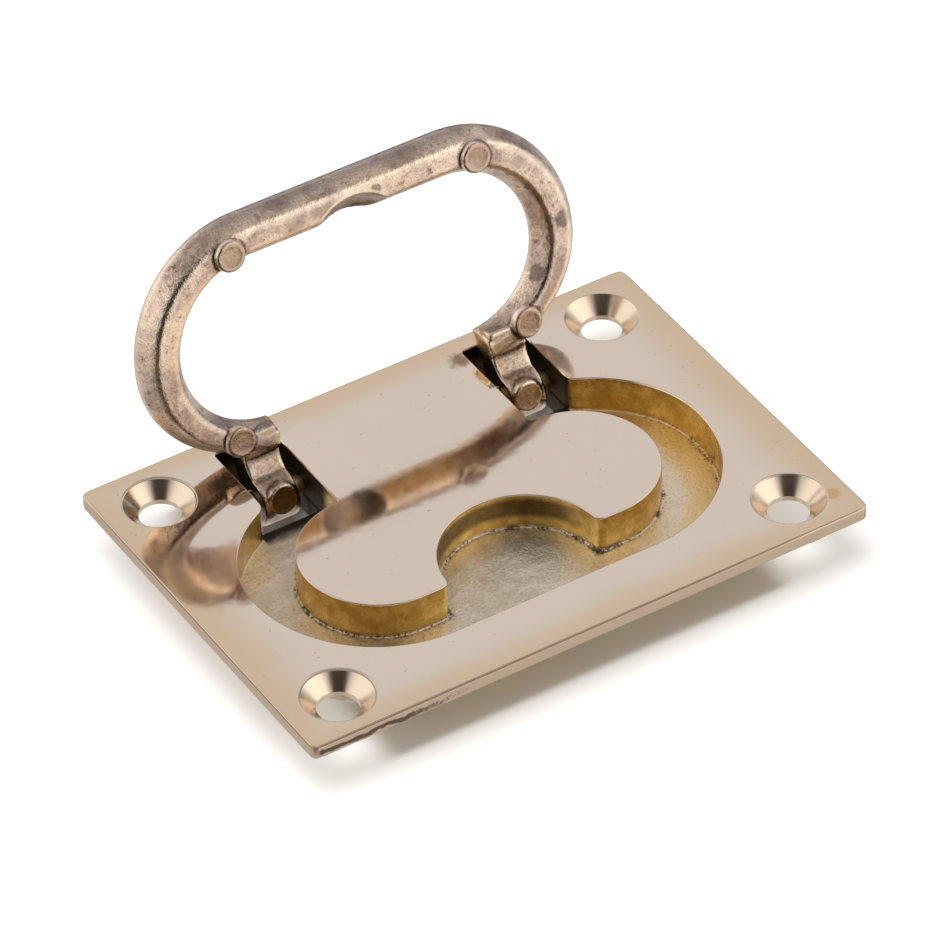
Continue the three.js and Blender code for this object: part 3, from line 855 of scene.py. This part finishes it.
bump = plate.node("ShaderNodeBump", {}, {"Strength": 1.0, "Distance": 1.0, "Height": relief})
shader = plate.node("ShaderNodeBsdfPrincipled", {}, {
    "Base Color": colour, "Metallic": 1.0, "Roughness": roughness, "Normal": bump})
plate.node("ShaderNodeOutputMaterial", {}, {"Surface": shader})
print("plate finish:", len(brass.node_tree.nodes), "nodes")

# %% [markdown]
# ### The bail's skin
#
# Tumbling rounds a casting and leaves a dull skin full of specks. The edges that the mesh attribute `bend`
# marks are lighter, partly from wear and partly as a painted highlight, and the creases get painted shade.
# The patterns read the attribute `folded`, the place where each point lies when the bail is shut, so the
# marks are found by their own sizes.

# %% Bail finish: patterns and where a point is
skin_material = bpy.data.materials.new("tumbled_brass")
skin_material.use_nodes = True
dull = Finish(skin_material.node_tree)
at = dull.node("ShaderNodeAttribute", {"attribute_name": "folded"}, {}, "Vector")
bend_value = dull.node("ShaderNodeAttribute", {"attribute_name": "bend"}, {}, "Fac")
blotch = dull.noise(at, 170, 5, 0.6, 0.4)
smudge = dull.noise(at, 420, 5, 0.7, 0.3)
speck = dull.noise(at, 1100, 4, 0.75)
fine = dull.noise(at, 3600, 3, 0.7)
parts = dull.node("ShaderNodeSeparateXYZ", {}, {0: at}, "X")
side_way, fore_way, up_way = dull.magnitude(parts), parts.out("Y"), parts.out("Z")
rough_bend = bend_value + (smudge - 0.5) * 0.2
wear_and_highlight = dull.step(rough_bend, 0.05, 0.20)
crease_shade = dull.step(rough_bend, -0.08, -0.35)
print("bail masks:", len(skin_material.node_tree.nodes), "nodes")

# %% The skin: blotches, smudges, specks, stains, and painted light under the bar
blotched = dull.step(blotch * 0.6 + smudge * 0.4, 0.40, 0.62)
skin_colour = dull.mix(blotched, rgb(0.48, 0.355, 0.28), rgb(0.93, 0.735, 0.585))
skin_colour = dull.mix(dull.step(smudge, 0.58, 0.72) * 0.45, skin_colour, rgb(0.19, 0.135, 0.10))
# painted light: the underside of the bar is tinted golden-brown, as if lit by the golden plate below it
plate_bounce_under_bar = dull.past(fore_way, -13.4, -12) * dull.past(side_way, 17, 14)
skin_colour = dull.mix(plate_bounce_under_bar * 0.8, skin_colour, rgb(0.50, 0.33, 0.12))
skin_colour = dull.mix(dull.step(blotch, 0.52, 0.66) * 0.5, skin_colour, rgb(0.84, 0.62, 0.41))
skin_colour = dull.mix(dull.step(fine, 0.46, 0.62) * 0.32, skin_colour, rgb(0.22, 0.155, 0.11))
skin_colour = dull.mix(dull.step(speck, 0.56, 0.66) * 0.65, skin_colour, rgb(0.11, 0.08, 0.055))
stain_spots = [((27.4, -1.8, 3.3), 1.25), ((23.4, 4.4, 4.6), 1.2), ((23.6, 0.6, 4.6), 1.0),
               ((3.8, -14.6, 3.3), 0.8), ((13.2, 7.6, 3.6), 2.4)]
for middle_of, size in stain_spots:
    stained = dull.past(ragged(dull.distance(at, middle_of), smudge, 1.2), size, size * 0.75)
    skin_colour = dull.mix(stained * 0.6, skin_colour, rgb(0.09, 0.065, 0.06))

# %% Wear and painted highlight, painted shade, and darker patches at the hinge, the marks and the scoop
# partly real wear and partly a painted highlight: the edges that bend marks are lightened
skin_colour = dull.mix(wear_and_highlight * 0.6, skin_colour, rgb(0.95, 0.79, 0.62))
# darker round the hinge on the left side, in smudgy patches
left_hinge_darkening = dull.past(parts, 0, -10) * dull.past(fore_way, 2, 10) * dull.step(smudge, 0.3, 0.6)
skin_colour = dull.mix(left_hinge_darkening * 0.45, skin_colour, rgb(0.13, 0.09, 0.065))
# painted shade: the outer side of the bar grows darker and greyer towards its outermost edge
outer_side_shade = dull.past(fore_way, -16.4, -17.2) * dull.past(side_way, 22, 16)
skin_colour = dull.mix(outer_side_shade * 0.5, skin_colour, rgb(0.20, 0.175, 0.19))
pad_face = dull.past(up_way, 2.95, 2.8) * dull.past(fore_way, 11.9, 11.5)
skin_colour = dull.mix(pad_face * (0.3 + smudge * 0.5), skin_colour, rgb(0.30, 0.19, 0.11))
disc_far = dull.length(side_way - lug_mark_x * MM, fore_way - lug_mark_y * MM)
lug_disc = dull.past(disc_far, 1.8, 1.5) * dull.past(up_way, 1.2, 0.8)
left_disc = lug_disc * dull.past(parts, 10, -10)
skin_colour = dull.mix(left_disc * 0.9, skin_colour, rgb(0.07, 0.025, 0.012))
skin_colour = dull.mix(lug_disc * 0.5, skin_colour, rgb(0.36, 0.25, 0.12))
scooped = dull.past(dull.distance(at, scoop_at), scoop_radius + 0.29, scoop_radius + 0.04)
skin_colour = dull.mix(scooped * (0.1 + speck * 0.8), skin_colour, rgb(0.05, 0.04, 0.045))
# painted shade: the creases that bend marks are darkened
skin_colour = dull.mix(crease_shade * 0.8, skin_colour, rgb(0.07, 0.045, 0.03))

# %% Roughness and relief of the bail
skin_rough = 0.21 + (speck - 0.5) * 0.3 + (smudge - 0.5) * 0.3 - wear_and_highlight * 0.08
skin_relief = speck * 0.00009 + fine * 0.00004 + smudge * 0.00013
skin_bump = dull.node("ShaderNodeBump", {}, {"Strength": 1.0, "Distance": 1.0, "Height": skin_relief})
dull_shader = dull.node("ShaderNodeBsdfPrincipled", {}, {
    "Base Color": skin_colour, "Metallic": 1.0, "Roughness": skin_rough, "Normal": skin_bump})
dull.node("ShaderNodeOutputMaterial", {}, {"Surface": dull_shader})
print("bail finish:", len(skin_material.node_tree.nodes), "nodes")

# %% [markdown]
# ### The pins
#
# Drawn wire is smoother than either casting, so one fine pattern is enough for its colour and its gloss.

# %% Pin finish
pin_material = bpy.data.materials.new("drawn_brass")
pin_material.use_nodes = True
drawn = Finish(pin_material.node_tree)
spot = drawn.node("ShaderNodeTexCoord", output="Object")
scuff = drawn.noise(spot, 1500, 4)
pin_colour = drawn.mix(scuff, rgb(0.60, 0.46, 0.24), rgb(0.80, 0.64, 0.36))
pin_bump = drawn.node("ShaderNodeBump", {}, {"Strength": 1.0, "Distance": 1.0, "Height": scuff * 0.00001})
pin_shader = drawn.node("ShaderNodeBsdfPrincipled", {}, {
    "Base Color": pin_colour, "Metallic": 1.0, "Roughness": 0.25 + scuff * 0.2, "Normal": pin_bump})
drawn.node("ShaderNodeOutputMaterial", {}, {"Surface": pin_shader})

# %% Put the pieces on their bodies
for piece, material, body, node, slot in (
    (face, brass, "plate", "face_plate", "polished_brass"),
    (bail, skin_material, "bail", "bail", "cast_bronze"),
    (pins[0], pin_material, "plate", "hinge_pin_left", "pin_brass"),
    (pins[1], pin_material, "plate", "hinge_pin_right", "pin_brass"),
):
    piece.data.materials.clear()
    piece.data.materials.append(material)
    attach(piece, body)
    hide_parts(node)

# %% The Standard view transform
bpy.context.scene.view_settings.view_transform = "Standard"
